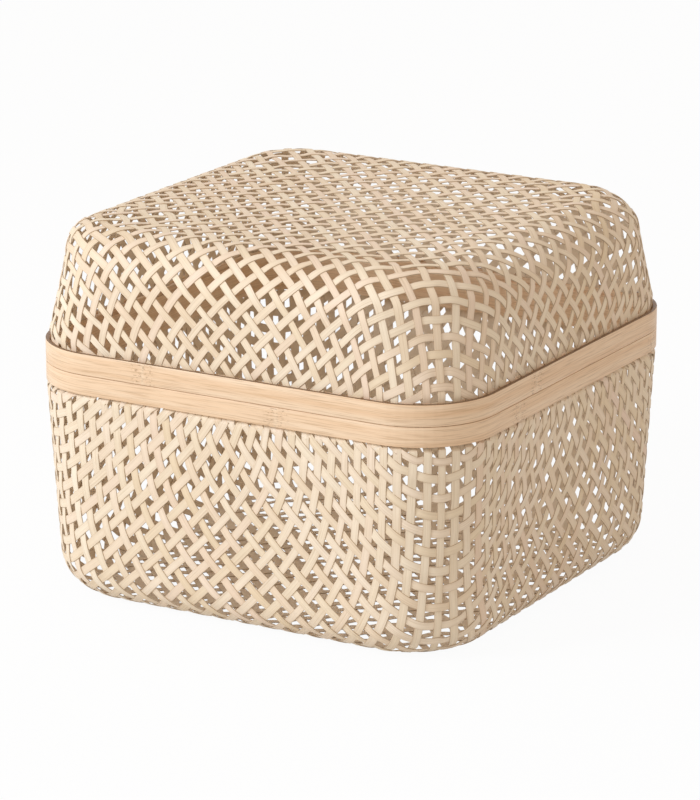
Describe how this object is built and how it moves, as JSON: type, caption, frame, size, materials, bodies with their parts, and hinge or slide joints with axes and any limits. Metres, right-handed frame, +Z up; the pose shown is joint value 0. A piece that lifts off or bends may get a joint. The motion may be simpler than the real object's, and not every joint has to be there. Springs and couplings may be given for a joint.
{
  "type": "woven lidded box",
  "caption": "Square woven bamboo storage box with rounded edges and a lift-off lid. Flat bamboo bands finish both rims, and an inner collar keeps the lid in line.",
  "frame": {"origin": "centre of the base's floor, on the surface that the box stands on", "axes": "+Z up through the lid; X and Y square to the sides"},
  "size_m": [0.3, 0.3, 0.2318],
  "materials": {
    "woven_strips": "pale split bamboo, satin",
    "bands": "honey-coloured bamboo, satin"
  },
  "bodies": {
    "base": {"base_woven_shell": "woven_strips", "base_outer_band": "bands", "base_inner_band": "bands", "lid_guide_collar": "bands"},
    "lid": {"lid_woven_shell": "woven_strips", "lid_outer_band": "bands", "lid_inner_band": "bands"}
  },
  "joints": [
    {"name": "lid_lift", "type": "slide", "parent": "base", "child": "lid", "axis": [0, 0, 1], "range_m": [0, 0.15]}
  ]
}
